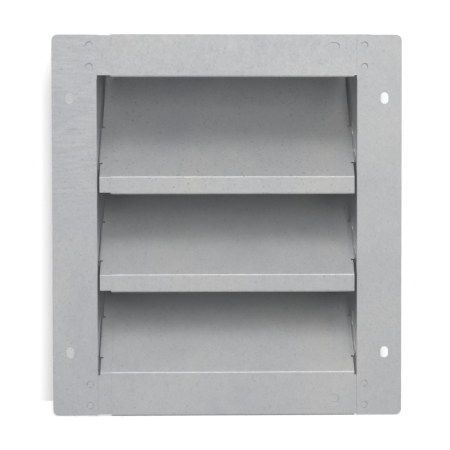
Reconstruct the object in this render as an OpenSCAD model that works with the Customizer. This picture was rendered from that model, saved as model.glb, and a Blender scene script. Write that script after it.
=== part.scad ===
// Adjustable louver: a galvanised sheet steel wall louver in two telescoping halves.
// Each half is one stile with a head strip, a sill blade and two more blades pressed to it.
// The right half slides over the left half, which sets the width.
// X runs across the louver, Y into the wall and Z up. The origin lies between the two screw
// slots of the left stile, on the face of its flange that meets the wall.

/* [Sheet] */
// Thickness of the steel sheet
sheet_t = 0.8; // [0.6:0.05:1.0]
// Inside radius of the bends
bend_r = 0.7; // [0.4:0.1:1.2]
// Running clearance between the nested sheets
slide_gap = 0.35; // [0.25:0.05:0.5]

/* [Frame] */
// Height over the stiles
overall_h = 356; // [330:1:420]
// Clear width between the stiles with the halves pushed together
opening_w = 242; // [200:1:320]
// Width of a stile's flange
stile_w = 42; // [36:1:50]
// Radius of the outer corners of the stiles
corner_r = 5.5; // [2:0.5:10]
// Height of the head strip
head_h = 39.5; // [36:0.5:46]
// Height of the sill's front face
sill_h = 40; // [36:0.5:46]
// Extra height of the top air space over the others
top_extra = 2; // [0:0.5:6]
// How far the outer head strip stands above the stiles' flanges
tab_rise = 0.4; // [0:0.1:0.8]

/* [Jambs] */
// Depth of a jamb behind the flange
jamb_d = 76.2; // [74:0.2:80]
// Width of the return along a jamb's rear edge
return_w = 12; // [6:1:16]
// How far a jamb stops short of the flange's ends
jamb_short = 4; // [3:0.5:20]
// Depth of the notch that lets a strip's tab pass the jamb
notch_d = 4; // [3:0.5:6]
// Play above and below a strip's tab in that notch
notch_play = 2; // [1:0.5:4]

/* [Blades] */
// Slope of the blades from level
slope = 55.5; // [53:0.5:57]
// Height of a blade's front lip over its hem
lip_h = 15.6; // [12:0.2:20]
// Space between a blade's rear edge and the jamb's rear face
rear_space = 4.6; // [4:0.2:8]
// Height of the turned up rear edge
turn_up = 9; // [7.5:0.5:12]
// Length of a hem's back leg
hem_leg = 5.5; // [3:0.1:5.6]
// Distance from a free end to the opposite stile with the halves pushed together
free_end = 12.6; // [12:0.2:16]

/* [End tabs] */
// Distance from a blade's front bend to its end tab, along the slope
tab_start = 16.5; // [16.5:0.5:20]
// Length of an end tab along the slope
tab_len = 42; // [34:1:56]
// Height of an end tab
tab_h = 10.6; // [10.4:0.1:11]
// Inside radius of an end tab's bend
tab_bend_r = 1.2; // [0.8:0.1:1.5]
// Width of the relief notches beside an end tab
relief_w = 1.6; // [1:0.1:2.5]
// Depth of the relief notches
relief_d = 2; // [1:0.5:4]
// Length of the strips' flat tabs behind the stiles
strip_tab = 14; // [12.5:0.5:20]

/* [Slots] */
// Width of the screw slots in the stiles
screw_slot_w = 7.2; // [5:0.2:9]
// Length of the screw slots in the stiles
screw_slot_l = 10.6; // [9.5:0.2:16]
// Distance from a stile's outer edge to the middle of its screw slots
screw_slot_edge = 16.1; // [10:0.1:20]
// Distance from a stile's end to the middle of a screw slot
screw_slot_end = 59.3; // [50:0.1:70]
// Width of the lock slots in the head and sill
lock_slot_w = 7; // [5:0.2:7.2]
// Length of the lock slots
lock_slot_l = 10.6; // [8:0.2:14]
// Distance from the stile's inner edge to the middle of a lock slot
lock_slot_in = 21.5; // [20:0.5:30]
// Distance from the top edge to the middle of the head's lock slot
lock_head_z = 11; // [10.8:0.2:20]
// Distance from the bottom edge to the middle of the sill's lock slot
lock_sill_z = 15.8; // [12:0.2:22]

/* [Press joints] */
// Radius of a press joint's mouth
press_r = 3.25; // [2.5:0.05:3.5]
// Radius lost from the mouth to the floor
press_draft = 0.6; // [0.3:0.1:1]
// Depth from the front face to the floor
press_depth = 1.3; // [1.1:0.1:1.6]
// Wall left in each of the two cups
press_wall = 0.45; // [0.3:0.05:0.6]
// Clearance between the two cups
press_fit = 0.03; // [0.02:0.01:0.05]
// Distance from a stile's inner edge to its press joints
press_edge = 7.2; // [6.5:0.1:8]
// Distance from a stile's end to its first press joint
press_end = 10; // [8:0.5:12]
// Distance between the two press joints of a strip
press_step = 20; // [14:0.5:22]

/* [Hidden] */

// Steps of a bend and of a round outline, and how far a cut runs past the face it starts from
bend_steps = 6;
round_steps = 8;
over = 1;
// Flat width left beside the bend between a flange and its jamb
bend_land = 1;
$fn = 48;

// Offset of the outer sheet from the inner one, and of a hem's back leg
nest = sheet_t + slide_gap;
// Inside radius of a hem, and space between a sheet's edge and the outside of the hem round it
hem_in = sheet_t / 2 + slide_gap;
hem_out = hem_in + sheet_t;

bottom = -overall_h / 2;
top = overall_h / 2;
outer_x = -screw_slot_edge;
left_x = outer_x + stile_w;
right_x = left_x + opening_w;
rear_y = jamb_d - rear_space - nest;
blade_gap = sheet_t + tab_bend_r;
sill_bend_z = bottom + sill_h;
pitch = (overall_h - head_h - top_extra - sill_h) / 3;
middle_bend_z = sill_bend_z + pitch;
upper_bend_z = sill_bend_z + 2 * pitch;
bend_levels = [sill_bend_z, middle_bend_z, upper_bend_z];
head_z = top - head_h;
// Top face of the inner head strip's rear leg
head_top = top - slide_gap;
screw_slot_z = top - screw_slot_end;
// Part of a jamb that is folded from its flange, between the strips' tabs
jamb_low = sill_bend_z + notch_play;
jamb_high = head_z - notch_play;
press_levels = [bottom + press_end, bottom + press_end + press_step,
                top - press_end - press_step, top - press_end];

left_paint = [0.70, 0.73, 0.75];
right_paint = [0.76, 0.77, 0.77];

// Folded sheet outlines. A path is a list of corner points of the inner sheet's hidden face, and
// an offset counts to the left of the path.
function along(a) = [cos(a), sin(a)];
function left_of(a) = [-sin(a), cos(a)];
function heading(path, i) = atan2(path[i + 1].y - path[i].y, path[i + 1].x - path[i].x);
function turn(path, i) =
    let (raw = heading(path, i) - heading(path, i - 1))
    raw > 180 ? raw - 360 : raw < -180 ? raw + 360 : raw;
function backwards(points) = [for (i = [len(points) - 1:-1:0]) points[i]];

// Points round corner i, at the offset d
function bend(path, radii, i, d) =
    let (a = heading(path, i - 1), t = turn(path, i), r = radii[i],
         centre = path[i] - along(a) * r * tan(abs(t) / 2) + left_of(a) * sign(t) * r)
    [for (k = [0:bend_steps])
        centre - left_of(a + t * k / bend_steps) * (sign(t) * r - d)];

function bends(path, radii, d) =
    [for (i = [1:1:len(path) - 2]) each bend(path, radii, i, d)];

function beside(path, i, leg, d, back = 0) =
    path[i] + along(heading(path, leg)) * back + left_of(heading(path, leg)) * d;

// One edge of the sheet from end to end, at the offset d
function edge(path, radii, d) =
    let (last = len(path) - 1)
    concat([beside(path, 0, 0, d)], bends(path, radii, d), [beside(path, last, last - 1, d)]);

// Half a turn round a sheet's end, from the heading a - 90 or a + 90
function hem_turn(centre, r, a, way) =
    [for (k = [0:2 * bend_steps]) centre + r * along(a + way * 180 * k / (2 * bend_steps))];

// Plain folded sheet between two offsets
module sheet_outline(path, radii, from, to) {
    polygon(concat(edge(path, radii, from), backwards(edge(path, radii, to))));
}

// Outer sheet: it lies one nest further out and turns round the inner sheet's two ends
module hemmed_outline(path, radii) {
    last = len(path) - 1;
    a0 = heading(path, 0);
    a1 = heading(path, last - 1);
    c0 = beside(path, 0, 0, sheet_t / 2);
    c1 = beside(path, last, last - 1, sheet_t / 2);
    polygon(concat(
        [beside(path, 0, 0, -nest, hem_leg)],
        hem_turn(c0, hem_out, a0 - 90, -1),
        bends(path, radii, nest + sheet_t),
        hem_turn(c1, hem_out, a1 + 90, -1),
        [beside(path, last, last - 1, -nest, -hem_leg)],
        [beside(path, last, last - 1, -slide_gap, -hem_leg)],
        backwards(hem_turn(c1, hem_in, a1 + 90, -1)),
        backwards(bends(path, radii, nest)),
        backwards(hem_turn(c0, hem_in, a0 - 90, -1)),
        [beside(path, 0, 0, -slide_gap, hem_leg)]));
}

// Paths in the Y Z plane. The hidden face of the inner sheets lies one sheet behind the flange.
function blade_path(lip) =
    let (rise = (rear_y - sheet_t) * tan(slope))
    [[sheet_t, hem_out - lip], [sheet_t, 0], [rear_y, rise], [rear_y, rise + turn_up]];
blade_radii = [0, bend_r, bend_r + nest + sheet_t, 0];

// Each head strip has a leg to the rear at the top. The outer strip lies in front of the inner one,
// turns up behind it in a hem and has its leg under the inner one's.
inner_head_path = [[sheet_t, head_z + hem_out], [sheet_t, head_top - sheet_t],
                   [rear_y, head_top - sheet_t]];
inner_head_radii = [0, bend_r, 0];
outer_head_path = [[-slide_gap, top], [-slide_gap, head_z + sheet_t], [nest, head_z + sheet_t],
                   [nest, head_top - nest], [rear_y, head_top - nest]];
outer_head_radii = [0, hem_in, hem_in, bend_r + sheet_t, 0];

// Runs an outline in the Y Z plane from x = from to x = to
module run_x(from, to) {
    translate([from, 0, 0]) rotate([90, 0, 90]) linear_extrude(to - from) children();
}

// Frame of a blade's slope: X stays, Y runs up the slope from the bend and Z stands off the blade
module on_slope(level) {
    translate([0, sheet_t, level]) rotate([slope, 0, 0]) children();
}

// Slot along Z with its axis on Y, through the sheets between two depths
module slot_z(x, z, w, l, from, to) {
    translate([x, to, z]) rotate([90, 0, 0]) {
        for (side = [-1, 1]) translate([0, side * (l - w) / 2, 0]) cylinder(d = w, h = to - from);
        translate([-w / 2, -(l - w) / 2, 0]) cube([w, l - w, to - from]);
    }
}

// The same slot along X
module slot_x(x, z, w, l, from, to) {
    translate([x, to, z]) rotate([90, 0, 0]) {
        for (side = [-1, 1]) translate([side * (l - w) / 2, 0, 0]) cylinder(d = w, h = to - from);
        translate([-(l - w) / 2, -w / 2, 0]) cube([l - w, w, to - from]);
    }
}

// Press joint, from the first sheet's front face at z = 0 towards +Z. Sheet 0 holds the mouth and
// sheet 1 the button behind it.
module press_boss(sheet) {
    wall = (sheet + 1) * press_wall + sheet * press_fit;
    start = (sheet + 0.5) * sheet_t;
    end = press_depth + wall;
    slant = press_draft / press_depth;
    translate([0, 0, start])
        cylinder(r1 = press_r + wall - slant * start, r2 = press_r + wall - slant * end, h = end - start);
}

module press_bore(sheet) {
    wall = sheet * (press_wall + press_fit);
    start = sheet * sheet_t - sheet_t / 4;
    end = press_depth + wall;
    slant = press_draft / press_depth;
    translate([0, 0, start])
        cylinder(r1 = press_r + wall - slant * start, r2 = press_r + wall - slant * end, h = end - start);
}

// Places press joints along a stile's inner edge; face is the flange's front face
module at_flange_joints(x, face, levels) {
    for (z = levels) translate([x, face, z]) rotate([-90, 0, 0]) children();
}

// Places the press joints of the blade ends on a jamb. Side is -1 for tabs turned down at the left
// jamb and 1 for tabs turned up at the right one.
module at_jamb_joints(x, side, levels) {
    tab_mid = side * (tab_h + tab_bend_r) / 2 + (side > 0 ? nest : sheet_t);
    for (level = levels, k = [1, 3])
        on_slope(level) translate([x - side * sheet_t, tab_start + tab_len * k / 4, tab_mid])
            rotate([0, side * 90, 0]) children();
}

// Outline of a flange in the X Z plane, with round outer corners. It keeps clear of the jamb's
// bend and reaches the inner edge where a strip's tab lies behind it.
module flange_outline() {
    low = bottom + tab_rise;
    high = top - tab_rise;
    bend_edge = left_x - sheet_t - bend_r - bend_land;
    r = corner_r;
    low_arc = [for (k = [0:round_steps])
        [outer_x + r, low + r] + r * along(270 - 90 * k / round_steps)];
    high_arc = [for (k = [0:round_steps])
        [outer_x + r, high - r] + r * along(180 - 90 * k / round_steps)];
    polygon(concat(low_arc, high_arc,
        [[left_x, high], [left_x, jamb_high], [bend_edge, jamb_high],
         [bend_edge, jamb_low], [left_x, jamb_low], [left_x, low]]));
}

// Flange, jamb and rear return of the left stile, without its slots and joints
module stile_shell() {
    outside = bend_r + sheet_t;
    jamb_path = [[left_x - outside - bend_land, -sheet_t], [left_x, -sheet_t],
                 [left_x, jamb_d - sheet_t], [left_x + return_w, jamb_d - sheet_t]];
    end_path = [[left_x, notch_d], jamb_path[2], jamb_path[3]];
    end_h = jamb_low - bottom - jamb_short;
    rotate([90, 0, 0]) linear_extrude(sheet_t) flange_outline();
    translate([0, 0, jamb_low]) linear_extrude(jamb_high - jamb_low)
        sheet_outline(jamb_path, [0, outside, bend_r, 0], 0, sheet_t);
    for (z = [jamb_low - end_h, jamb_high])
        translate([0, 0, z]) linear_extrude(z < 0 ? end_h : top - jamb_short - jamb_high)
            sheet_outline(end_path, [0, bend_r, 0], 0, sheet_t);
}

module left_stile() {
    x = left_x - press_edge;
    color(left_paint) difference() {
        union() {
            stile_shell();
            at_flange_joints(x, -sheet_t, press_levels) press_boss(0);
            at_jamb_joints(left_x, -1, bend_levels) press_boss(1);
        }
        at_flange_joints(x, -sheet_t, press_levels) press_bore(0);
        at_jamb_joints(left_x, -1, bend_levels) press_bore(1);
        for (z = [-screw_slot_z, screw_slot_z])
            slot_z(0, z, screw_slot_w, screw_slot_l, -2 * sheet_t, sheet_t);
    }
}

module right_stile() {
    x = right_x + press_edge;
    face = -sheet_t - nest;
    color(right_paint) difference() {
        union() {
            translate([left_x + right_x, -nest, 0]) mirror([1, 0, 0]) stile_shell();
            at_flange_joints(x, face, press_levels) press_boss(0);
            at_jamb_joints(right_x, 1, bend_levels) press_boss(1);
        }
        at_flange_joints(x, face, press_levels) press_bore(0);
        at_jamb_joints(right_x, 1, bend_levels) press_bore(1);
        for (z = [-screw_slot_z, screw_slot_z])
            slot_z(left_x + right_x, z, screw_slot_w, screw_slot_l, face - sheet_t, face + 2 * sheet_t);
    }
}

// End tab of an inner blade, turned down, and of an outer blade, turned up
module left_end_tab() {
    path = [[left_x + blade_gap + relief_d, sheet_t], [left_x, sheet_t], [left_x, sheet_t - tab_h]];
    end_tab(path);
}

module right_end_tab() {
    path = [[right_x - blade_gap - relief_d, nest], [right_x, nest], [right_x, nest + tab_h]];
    end_tab(path);
}

module end_tab(path) {
    translate([0, tab_start + tab_len, 0]) rotate([90, 0, 0]) linear_extrude(tab_len)
        sheet_outline(path, [0, blade_gap, 0], 0, sheet_t);
}

// Space cut from a blade's end at x, which its end tab fills but for a relief notch on each side
module tab_space(x, side) {
    translate([side > 0 ? x - relief_d : x - over, tab_start - relief_w, -nest])
        cube([relief_d + over, tab_len + 2 * relief_w, 3 * nest + sheet_t]);
}

// Inner and outer sheet of a blade with their end tabs. The bend over the lip lies at z = 0.
module inner_blade(lip) {
    end = left_x + blade_gap;
    difference() {
        union() {
            difference() {
                run_x(end, right_x - free_end)
                    sheet_outline(blade_path(lip), blade_radii, 0, sheet_t);
                on_slope(0) tab_space(end, -1);
            }
            on_slope(0) left_end_tab();
            at_jamb_joints(left_x, -1, [0]) press_boss(0);
        }
        at_jamb_joints(left_x, -1, [0]) press_bore(0);
    }
}

module outer_blade(lip) {
    end = right_x - blade_gap;
    difference() {
        union() {
            difference() {
                run_x(left_x + free_end, end) hemmed_outline(blade_path(lip), blade_radii);
                on_slope(0) tab_space(end, 1);
            }
            on_slope(0) right_end_tab();
            at_jamb_joints(right_x, 1, [0]) press_boss(0);
        }
        at_jamb_joints(right_x, 1, [0]) press_bore(0);
    }
}

// Flat tab of a strip or sill behind a stile: front is its front face
module strip_plate(from, to, front, low, high) {
    translate([from, front, low]) cube([to - from, sheet_t, high - low]);
}

// Height at which a sill's flat face gives way to its bend
sill_flat_z = sill_bend_z - notch_play;

module left_head_strip() {
    x = left_x - press_edge;
    levels = [press_levels[2], press_levels[3]];
    color(left_paint) difference() {
        union() {
            run_x(left_x + blade_gap, right_x - free_end)
                sheet_outline(inner_head_path, inner_head_radii, 0, sheet_t);
            strip_plate(left_x - strip_tab, left_x + blade_gap, 0, head_z + hem_out, top - tab_rise);
            at_flange_joints(x, -sheet_t, levels) press_boss(1);
        }
        at_flange_joints(x, -sheet_t, levels) press_bore(1);
        slot_x(left_x + lock_slot_in, top - lock_head_z, lock_slot_w, lock_slot_l, -over, sheet_t + over);
    }
}

module right_head_strip() {
    x = right_x + press_edge;
    face = -sheet_t - nest;
    levels = [press_levels[2], press_levels[3]];
    color(right_paint) difference() {
        union() {
            run_x(left_x + free_end, right_x - blade_gap)
                sheet_outline(outer_head_path, outer_head_radii, -sheet_t, 0);
            strip_plate(right_x - blade_gap, right_x + strip_tab, -nest, head_z + hem_out, top);
            at_flange_joints(x, face, levels) press_boss(1);
        }
        at_flange_joints(x, face, levels) press_bore(1);
        slot_x(right_x - lock_slot_in, top - lock_head_z, lock_slot_w, lock_slot_l, -2 * nest,
               -slide_gap / 2);
    }
}

module left_sill_blade() {
    x = left_x - press_edge;
    levels = [press_levels[0], press_levels[1]];
    color(left_paint) difference() {
        union() {
            translate([0, 0, sill_bend_z]) inner_blade(sill_h);
            strip_plate(left_x - strip_tab, left_x + blade_gap, 0, bottom + hem_out, sill_flat_z);
            at_flange_joints(x, -sheet_t, levels) press_boss(1);
        }
        at_flange_joints(x, -sheet_t, levels) press_bore(1);
        slot_x(left_x + lock_slot_in, bottom + lock_sill_z, lock_slot_w, lock_slot_l, -over,
               sheet_t + over);
    }
}

module right_sill_blade() {
    x = right_x + press_edge;
    face = -sheet_t - nest;
    levels = [press_levels[0], press_levels[1]];
    color(right_paint) difference() {
        union() {
            translate([0, 0, sill_bend_z]) outer_blade(sill_h);
            strip_plate(right_x - blade_gap, right_x + strip_tab, -nest, bottom + hem_out, sill_flat_z);
            at_flange_joints(x, face, levels) press_boss(1);
        }
        at_flange_joints(x, face, levels) press_bore(1);
        slot_x(right_x - lock_slot_in, bottom + lock_sill_z, lock_slot_w, lock_slot_l, -2 * nest,
               -slide_gap / 2);
    }
}

module left_upper_blade() {
    color(left_paint) translate([0, 0, upper_bend_z]) inner_blade(lip_h);
}

module left_middle_blade() {
    color(left_paint) translate([0, 0, middle_bend_z]) inner_blade(lip_h);
}

module right_upper_blade() {
    color(right_paint) translate([0, 0, upper_bend_z]) outer_blade(lip_h);
}

module right_middle_blade() {
    color(right_paint) translate([0, 0, middle_bend_z]) outer_blade(lip_h);
}

left_stile();
left_head_strip();
left_sill_blade();
left_upper_blade();
left_middle_blade();
right_stile();
right_head_strip();
right_sill_blade();
right_upper_blade();
right_middle_blade();
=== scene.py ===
import math
import bpy
from mathutils import Matrix, Vector


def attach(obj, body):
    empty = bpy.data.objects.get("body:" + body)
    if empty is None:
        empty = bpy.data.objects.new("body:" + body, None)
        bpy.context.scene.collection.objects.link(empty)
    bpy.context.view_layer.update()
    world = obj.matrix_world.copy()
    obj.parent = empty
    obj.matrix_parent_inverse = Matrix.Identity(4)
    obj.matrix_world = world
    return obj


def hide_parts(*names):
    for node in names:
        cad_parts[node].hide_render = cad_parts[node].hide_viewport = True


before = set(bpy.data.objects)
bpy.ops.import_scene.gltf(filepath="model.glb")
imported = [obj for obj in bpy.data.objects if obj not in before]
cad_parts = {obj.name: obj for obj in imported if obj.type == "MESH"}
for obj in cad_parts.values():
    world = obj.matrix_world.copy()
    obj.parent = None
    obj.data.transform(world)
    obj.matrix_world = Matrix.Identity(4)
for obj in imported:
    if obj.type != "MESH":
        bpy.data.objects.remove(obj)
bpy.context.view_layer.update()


# small helpers for node trees

def addNode(tree, kind, settings=None, sockets=None):
    node = tree.nodes.new(kind)
    for key, value in (settings or {}).items():
        setattr(node, key, value)
    for key, value in (sockets or {}).items():
        if isinstance(value, bpy.types.NodeSocket):
            tree.links.new(value, node.inputs[key])
        else:
            node.inputs[key].default_value = value
    return node


def calc(tree, operation, first, second=0.0, third=0.0):
    node = addNode(tree, "ShaderNodeMath", {"operation": operation},
                   {0: first, 1: second, 2: third})
    return node.outputs[0]


def span(tree, value, fromLow, fromHigh, toLow, toHigh, smooth=False):
    node = addNode(tree, "ShaderNodeMapRange",
                   {"interpolation_type": "SMOOTHSTEP" if smooth else "LINEAR"},
                   {"Value": value, "From Min": fromLow, "From Max": fromHigh,
                    "To Min": toLow, "To Max": toHigh})
    return node.outputs[0]


def noise(tree, where, scale, detail=2.0, distortion=0.0, roughness=0.5):
    node = addNode(tree, "ShaderNodeTexNoise", None,
                   {"Vector": where, "Scale": scale, "Detail": detail,
                    "Roughness": roughness, "Distortion": distortion})
    return node.outputs["Fac"]


def squeezed(tree, where, scale, turn=(0.0, 0.0, 0.0), shift=(0.0, 0.0, 0.0)):
    node = addNode(tree, "ShaderNodeMapping", None,
                   {"Vector": where, "Location": shift,
                    "Rotation": [math.radians(a) for a in turn], "Scale": scale})
    return node.outputs[0]


def tint(tree, factor, stops):
    node = addNode(tree, "ShaderNodeValToRGB", None, {"Fac": factor})
    ramp = node.color_ramp
    while len(ramp.elements) < len(stops):
        ramp.elements.new(0.5)
    for element, (place, colour) in zip(ramp.elements, stops):
        element.position = place
        element.color = (*colour, 1.0)
    return node.outputs["Color"]


def scratchMask(tree, where, start, end, width):
    # one at a thin line between two points, fading at its ends
    a, b = Vector(start), Vector(end)
    along = (b - a).normalized()
    across = along.cross(Vector((0.0, -1.0, 0.0))).normalized()
    turn = Matrix((along, across, along.cross(across))).transposed().to_euler()
    local = addNode(tree, "ShaderNodeMapping", {"vector_type": "TEXTURE"},
                    {"Vector": where, "Location": a, "Rotation": turn,
                     "Scale": ((b - a).length, width, 1.0)})
    parts = addNode(tree, "ShaderNodeSeparateXYZ", None, {"Vector": local.outputs[0]})
    side = span(tree, calc(tree, "ABSOLUTE", parts.outputs["Y"]), 0.0, 1.0, 1.0, 0.0)
    head = span(tree, parts.outputs["X"], 0.0, 0.25, 0.0, 1.0)
    tail = span(tree, parts.outputs["X"], 0.75, 1.0, 1.0, 0.0)
    return calc(tree, "MULTIPLY", side, calc(tree, "MULTIPLY", head, tail))


# zinc coated sheet: a cloudy tone, mottles, rolled grain, dark specks and scratches

def zincSkin(name, look):
    skin = bpy.data.materials.new(name)
    skin.use_nodes = True
    tree = skin.node_tree
    shader = tree.nodes["Principled BSDF"]
    shader.inputs["Metallic"].default_value = look["metal"]
    where = addNode(tree, "ShaderNodeTexCoord").outputs["Object"]
    place = addNode(tree, "ShaderNodeSeparateXYZ", None, {"Vector": where})

    cloud = noise(tree, squeezed(tree, where, (1.0, 1.0, 1.0), shift=look["shift"]),
                  look["cloudScale"], 3.0, 0.6)
    colour = tint(tree, cloud, look["tones"])
    mottle = noise(tree, squeezed(tree, where, look["mottleStretch"], look["mottleTurn"], look["shift"]),
                   look["mottleScale"], 5.0, look["mottleSwirl"], 0.62)
    grain = noise(tree, where, look["grainScale"], 2.0, 0.0, 0.7)
    shade = calc(tree, "MULTIPLY",
                 span(tree, mottle, 0.25, 0.75, 1.0 - look["mottle"], 1.0 + look["mottle"]),
                 span(tree, grain, 0.25, 0.75, 1.0 - look["grain"], 1.0 + look["grain"]))

    streak = noise(tree, squeezed(tree, where, look["streakStretch"], shift=look["shift"]),
                   look["streakScale"], 4.0, 0.3, 0.65)
    streakZone = span(tree, place.outputs["Z"], look["streakZone"][0], look["streakZone"][1], 0.0, 1.0, True)
    streakShade = calc(tree, "MULTIPLY", streakZone,
                       span(tree, streak, 0.25, 0.75, -look["streak"], look["streak"]))
    shade = calc(tree, "MULTIPLY", shade, calc(tree, "ADD", streakShade, 1.0))

    specks = noise(tree, squeezed(tree, where, (1.0, 1.0, 1.0), shift=(3.1, 1.7, 0.4)),
                   look["speckScale"], 1.0, 0.8)
    speckMask = span(tree, specks, look["speckLimit"], look["speckLimit"] + 0.06, 0.0, look["speck"])
    shade = calc(tree, "MULTIPLY", shade, calc(tree, "SUBTRACT", 1.0, speckMask))

    lift = 0.0
    for start, end, width, strength in look["scratches"]:
        mask = calc(tree, "MULTIPLY", scratchMask(tree, where, start, end, width), strength)
        lift = calc(tree, "ADD", mask, lift)
    shade = calc(tree, "ADD", shade, lift)

    scaled = addNode(tree, "ShaderNodeVectorMath", {"operation": "SCALE"}, {0: colour, "Scale": shade})
    tree.links.new(scaled.outputs[0], shader.inputs["Base Color"])

    rough = span(tree, mottle, 0.25, 0.75, look["rough"][0], look["rough"][1])
    rough = calc(tree, "ADD", rough, calc(tree, "MULTIPLY", speckMask, 0.3))
    tree.links.new(rough, shader.inputs["Roughness"])

    wave = noise(tree, where, look["waveScale"], 1.0)
    broad = addNode(tree, "ShaderNodeBump", None,
                    {"Strength": 1.0, "Distance": look["waveHeight"], "Height": wave})
    relief = calc(tree, "ADD", calc(tree, "MULTIPLY", mottle, look["mottleHeight"]),
                  calc(tree, "MULTIPLY", grain, look["grainHeight"]))
    relief = calc(tree, "ADD", relief, calc(tree, "MULTIPLY", calc(tree, "MULTIPLY", streak, streakZone),
                                            look["streakHeight"]))
    fine = addNode(tree, "ShaderNodeBump", None,
                   {"Strength": 1.0, "Distance": 0.0001, "Height": relief, "Normal": broad.outputs[0]})
    tree.links.new(fine.outputs[0], shader.inputs["Normal"])
    return skin


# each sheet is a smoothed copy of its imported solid, with its cut edges eased

def dressSheet(nodeName, body, skin, look):
    for other in bpy.context.selected_objects:
        other.select_set(False)
    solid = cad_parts[nodeName]
    sheet = solid.copy()
    sheet.data = solid.data.copy()
    sheet.name = look["name"]
    sheet.parent = None
    for key in list(sheet.keys()):
        if key.startswith("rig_"):
            del sheet[key]
    bpy.context.scene.collection.objects.link(sheet)
    sheet.select_set(True)
    bpy.context.view_layer.objects.active = sheet
    bpy.ops.object.mode_set(mode="EDIT")
    bpy.ops.mesh.select_all(action="SELECT")
    bpy.ops.mesh.remove_doubles(threshold=look["mergeDistance"])
    bpy.ops.mesh.dissolve_limited(angle_limit=math.radians(0.4))
    bpy.ops.object.mode_set(mode="OBJECT")
    bpy.ops.object.shade_smooth_by_angle(angle=math.radians(look["smoothAngle"]))
    eased = sheet.modifiers.new("easedEdges", "BEVEL")
    eased.width = look["edge"]
    eased.segments = 2
    eased.limit_method = "ANGLE"
    eased.angle_limit = math.radians(50.0)
    eased.use_clamp_overlap = True
    bpy.ops.object.modifier_apply(modifier=eased.name)
    flats = sheet.modifiers.new("flatFaces", "WEIGHTED_NORMAL")
    flats.keep_sharp = True
    flats.weight = 100
    bpy.ops.object.modifier_apply(modifier=flats.name)
    sheet.data.materials.clear()
    sheet.data.materials.append(skin)
    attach(sheet, body)
    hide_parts(nodeName)
    print(look["name"], "dressed:", len(sheet.data.polygons), "faces")
    return sheet


sheetShape = {"mergeDistance": 0.000002, "smoothAngle": 32.0, "edge": 0.00012}

plainZinc = {
    "metal": 0.8, "shift": (0.0, 0.0, 0.0),
    "cloudScale": 14.0,
    "tones": [(0.3, (0.58, 0.60, 0.62)), (0.5, (0.62, 0.63, 0.64)), (0.7, (0.65, 0.65, 0.64))],
    "mottleScale": 180.0, "mottleStretch": (1.0, 1.0, 1.0), "mottleTurn": (0.0, 0.0, 0.0), "mottleSwirl": 1.2,
    "mottle": 0.05, "mottleHeight": 0.6,
    "grainScale": 750.0, "grain": 0.05, "grainHeight": 0.5,
    "streakScale": 60.0, "streakStretch": (1.0, 8.0, 8.0), "streakZone": (9.0, 10.0),
    "streak": 0.0, "streakHeight": 0.0,
    "speckScale": 520.0, "speckLimit": 0.66, "speck": 0.15,
    "scratches": [],
    "rough": (0.28, 0.36),
    "waveScale": 9.0, "waveHeight": 0.0006,
}

sheets = [
    ("left_stile", "left_half", "galvanised_left", {
        "name": "leftStileSheet",
        "tones": [(0.3, (0.57, 0.59, 0.62)), (0.5, (0.61, 0.62, 0.64)), (0.7, (0.65, 0.65, 0.65))],
        "streakZone": (-0.01, 0.03), "streak": 0.10, "streakHeight": 1.0}),
    ("left_head_strip", "left_half", "galvanised_left", {
        "name": "leftHeadStripSheet", "mottle": 0.10, "mottleHeight": 1.2}),
    ("left_sill_blade", "left_half", "galvanised_left", {"name": "leftSillSheet"}),
    ("left_upper_blade", "left_half", "galvanised_left", {"name": "leftUpperBladeSheet", "speck": 0.3}),
    ("left_middle_blade", "left_half", "galvanised_left", {"name": "leftMiddleBladeSheet"}),
    ("right_stile", "right_half", "galvanised_right", {"name": "rightStileSheet"}),
    ("right_head_strip", "right_half", "galvanised_right", {
        "name": "rightHeadStripSheet", "mottle": 0.10, "mottleHeight": 1.2}),
    ("right_sill_blade", "right_half", "galvanised_right", {"name": "rightSillSheet"}),
    ("right_upper_blade", "right_half", "galvanised_right", {"name": "rightUpperBladeSheet", "speck": 0.3}),
    ("right_middle_blade", "right_half", "galvanised_right", {"name": "rightMiddleBladeSheet"}),
]

for nodeName, body, slotName, changes in sheets:
    look = {**plainZinc, **sheetShape, **changes}
    dressSheet(nodeName, body, zincSkin(look["name"] + "Zinc", look), look)
print("all sheets dressed")


# pale floor under the louver and a pale wall behind it, each seen from its front only

def stagePlane(name, look):
    bpy.ops.mesh.primitive_plane_add(size=look["size"], location=look["place"],
                                     rotation=[math.radians(a) for a in look["turn"]])
    plane = bpy.context.active_object
    plane.name = name
    bpy.ops.object.transform_apply(location=True, rotation=True, scale=True)
    paint = bpy.data.materials.new(name + "Paint")
    paint.use_nodes = True
    tree = paint.node_tree
    tree.nodes.clear()
    matt = addNode(tree, "ShaderNodeBsdfDiffuse", None, {"Color": (*look["colour"], 1.0)})
    lit = addNode(tree, "ShaderNodeEmission", None, {"Color": (*look["colour"], 1.0), "Strength": look["glow"]})
    white = addNode(tree, "ShaderNodeAddShader", None, {0: matt.outputs[0], 1: lit.outputs[0]})
    clear = addNode(tree, "ShaderNodeBsdfTransparent")
    side = addNode(tree, "ShaderNodeNewGeometry").outputs["Backfacing"]
    both = addNode(tree, "ShaderNodeMixShader", None, {0: side, 1: white.outputs[0], 2: clear.outputs[0]})
    output = addNode(tree, "ShaderNodeOutputMaterial")
    tree.links.new(both.outputs[0], output.inputs["Surface"])
    plane.data.materials.append(paint)
    plane.visible_diffuse = False
    plane.visible_glossy = False
    plane.visible_shadow = False
    plane.visible_transmission = False
    return plane


backdrop = {"size": 6.0, "place": (0.147, 0.0775, 0.0), "turn": (90.0, 0.0, 0.0), "colour": (0.9, 0.9, 0.9), "glow": 0.5}
floor = {"size": 6.0, "place": (0.147, 0.0, -0.1785), "turn": (0.0, 0.0, 0.0), "colour": (0.9, 0.9, 0.9), "glow": 0.6}
stagePlane("backdrop", backdrop)
stagePlane("floor", floor)
print("stage set")


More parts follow.
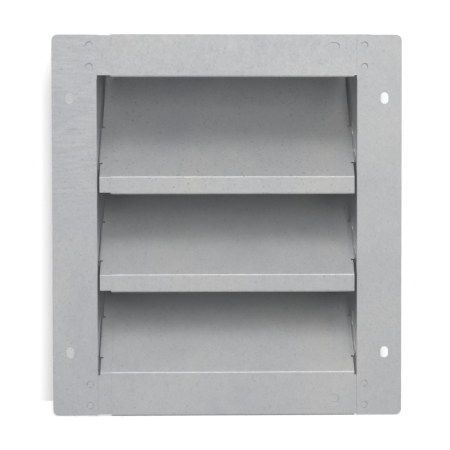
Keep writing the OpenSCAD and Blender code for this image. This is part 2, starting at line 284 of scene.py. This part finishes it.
# soft studio light: the metal mirrors a room that is brightest above the camera and dim behind the
# louver, and the stage takes its light and its soft shadows from two boxes

room = {
    "glow": [(-90.0, 0.45), (-25.0, 0.70), (0.0, 0.72), (18.0, 0.70), (26.0, 1.8), (38.0, 1.8), (50.0, 0.60), (90.0, 0.50)],
    "behind": 0.35, "brightest": 2.0,
}
softBoxes = [
    {"name": "keyBox", "place": (0.53, -2.65, 0.80), "aim": (0.147, 0.0, 0.0), "size": (0.66, 1.6), "power": 60.0},
    {"name": "overheadBox", "place": (0.147, 0.045, 1.32), "aim": (0.147, 0.045, 0.0), "size": (0.9, 0.25),
     "power": 13.0},
]

world = bpy.data.worlds.new("studio")
bpy.context.scene.world = world
world.use_nodes = True
tree = world.node_tree
tree.nodes.clear()
direction = addNode(tree, "ShaderNodeTexCoord").outputs["Generated"]
ways = addNode(tree, "ShaderNodeSeparateXYZ", None, {"Vector": direction}).outputs
stops = []
for elevation, glow in room["glow"]:
    level = glow / room["brightest"]
    stops.append((0.5 + 0.5 * math.sin(math.radians(elevation)), (level, level, level)))
glow = tint(tree, span(tree, ways["Z"], -1.0, 1.0, 0.0, 1.0), stops)
strength = span(tree, ways["Y"], -0.2, 0.2, room["brightest"], room["brightest"] * room["behind"], True)
roomLight = addNode(tree, "ShaderNodeBackground", None, {"Color": glow, "Strength": strength})
paper = addNode(tree, "ShaderNodeBackground", None, {"Color": (1.0, 1.0, 1.0, 1.0), "Strength": 1.0})
seen = addNode(tree, "ShaderNodeLightPath").outputs["Is Camera Ray"]
both = addNode(tree, "ShaderNodeMixShader", None, {0: seen, 1: roomLight.outputs[0], 2: paper.outputs[0]})
output = addNode(tree, "ShaderNodeOutputWorld")
tree.links.new(both.outputs[0], output.inputs["Surface"])
world.cycles_visibility.diffuse = False

for box in softBoxes:
    lamp = bpy.data.lights.new(box["name"], "AREA")
    lamp.shape = "RECTANGLE"
    lamp.size, lamp.size_y = box["size"]
    lamp.energy = box["power"]
    holder = bpy.data.objects.new(box["name"], lamp)
    bpy.context.scene.collection.objects.link(holder)
    holder.visible_glossy = False
    holder.location = box["place"]
    holder.rotation_euler = (Vector(box["aim"]) - Vector(box["place"])).to_track_quat("-Z", "Y").to_euler()
bpy.context.scene.view_settings.view_transform = "Standard"
print("lights set")


# camera at the photograph's place

cameraView = {"place": (0.12754, -0.98084, 0.02307), "turn": (88.684, 0.101, -1.0093), "lens": 84.02}

cameraData = bpy.data.cameras.new("photoCamera")
cameraData.lens = cameraView["lens"]
cameraData.sensor_width = 36.0
cameraData.clip_start = 0.05
cameraData.clip_end = 50.0
camera = bpy.data.objects.new("photoCamera", cameraData)
camera.location = cameraView["place"]
camera.rotation_euler = [math.radians(a) for a in cameraView["turn"]]
bpy.context.scene.collection.objects.link(camera)
bpy.context.scene.camera = camera
print("camera set")
